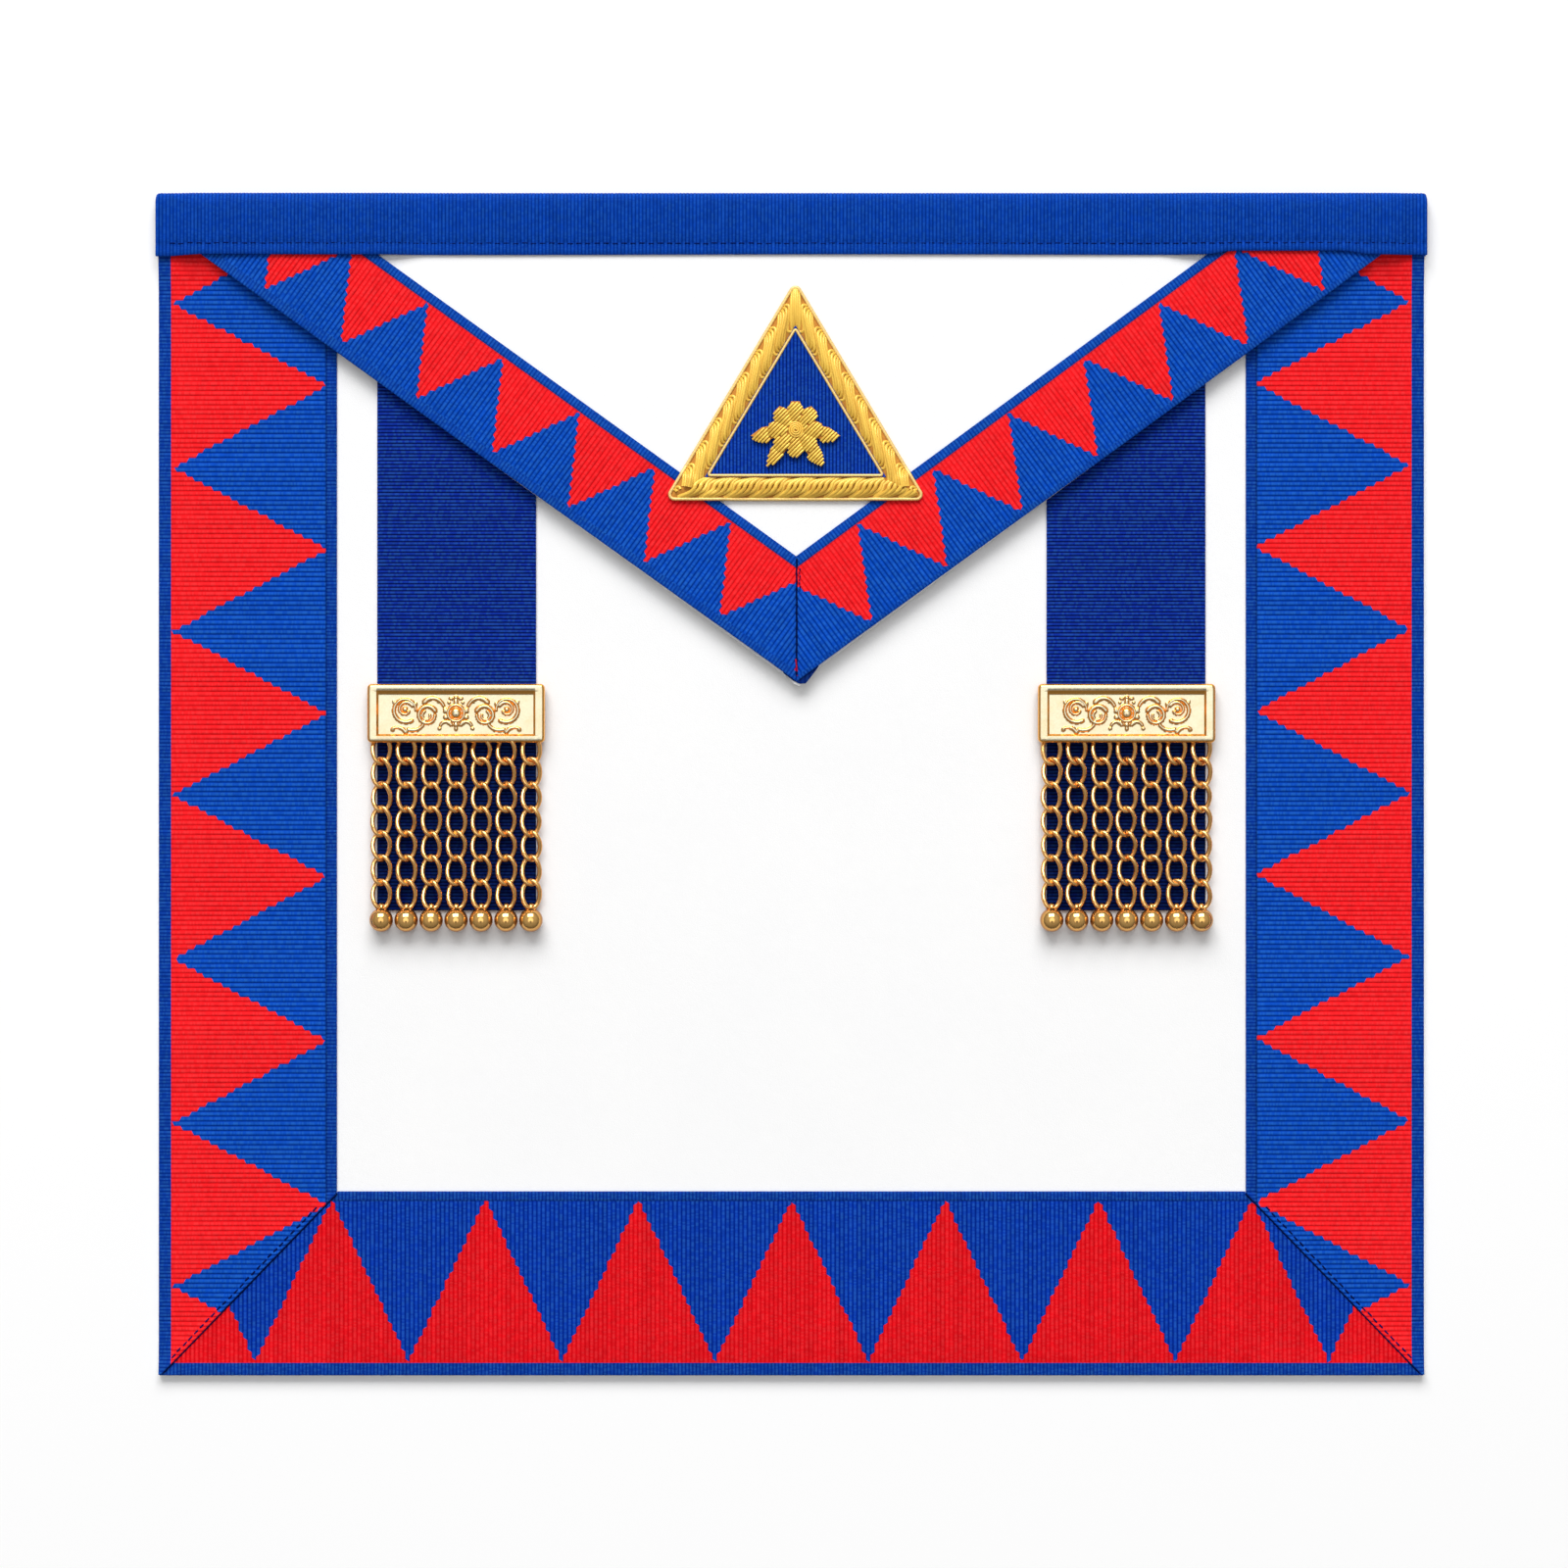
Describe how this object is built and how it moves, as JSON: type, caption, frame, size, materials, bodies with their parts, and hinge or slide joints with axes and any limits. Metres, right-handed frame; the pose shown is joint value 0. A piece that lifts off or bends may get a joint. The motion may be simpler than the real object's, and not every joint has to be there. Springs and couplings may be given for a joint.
{
  "type": "masonic apron",
  "caption": "Flat white leather lodge apron with toothed ribbon borders, a pointed flap with an embroidered triangle, and ribbons bearing plaques with hanging chains.",
  "frame": {"origin": "on the surface that the apron lies on, under the middle of its outline", "axes": "+X towards the viewer's right, +Y towards the waistband, +Z out of the apron's face"},
  "size_m": [0.4078, 0.3796, 0.0097],
  "materials": {
    "white_kid": "smooth white kid, fine grain, dull",
    "toothed_ribbon": "ribbed ribbon woven in royal blue and scarlet teeth, slight sheen",
    "band_ribbon": "finely ribbed royal blue ribbon, slight sheen",
    "navy_ribbon": "finely ribbed navy blue ribbon, slight sheen",
    "gilt_metal": "polished gilt",
    "gold_thread": "metallic gold embroidery thread, padded",
    "blue_silk": "ribbed royal blue silk"
  },
  "bodies": {
    "root": {"apron_skin": "white_kid", "flap_skin": "white_kid", "border_ribbon_left": "toothed_ribbon", "border_ribbon_right": "toothed_ribbon", "border_ribbon_hem": "toothed_ribbon", "flap_ribbon_left": "toothed_ribbon", "flap_ribbon_right": "toothed_ribbon", "waistband": "band_ribbon", "tassel_ribbon_left": "navy_ribbon", "tassel_ribbon_right": "navy_ribbon", "tassel_plaque_left": "gilt_metal", "tassel_plaque_right": "gilt_metal", "emblem_ground": "blue_silk", "emblem_frame": "gold_thread", "emblem_flower": "gold_thread", "tassel_chain_left_1": "gilt_metal", "tassel_chain_left_2": "gilt_metal", "tassel_chain_left_3": "gilt_metal", "tassel_chain_left_4": "gilt_metal", "tassel_chain_left_5": "gilt_metal", "tassel_chain_left_6": "gilt_metal", "tassel_chain_left_7": "gilt_metal", "tassel_chain_right_1": "gilt_metal", "tassel_chain_right_2": "gilt_metal", "tassel_chain_right_3": "gilt_metal", "tassel_chain_right_4": "gilt_metal", "tassel_chain_right_5": "gilt_metal", "tassel_chain_right_6": "gilt_metal", "tassel_chain_right_7": "gilt_metal"}
  },
  "joints": []
}
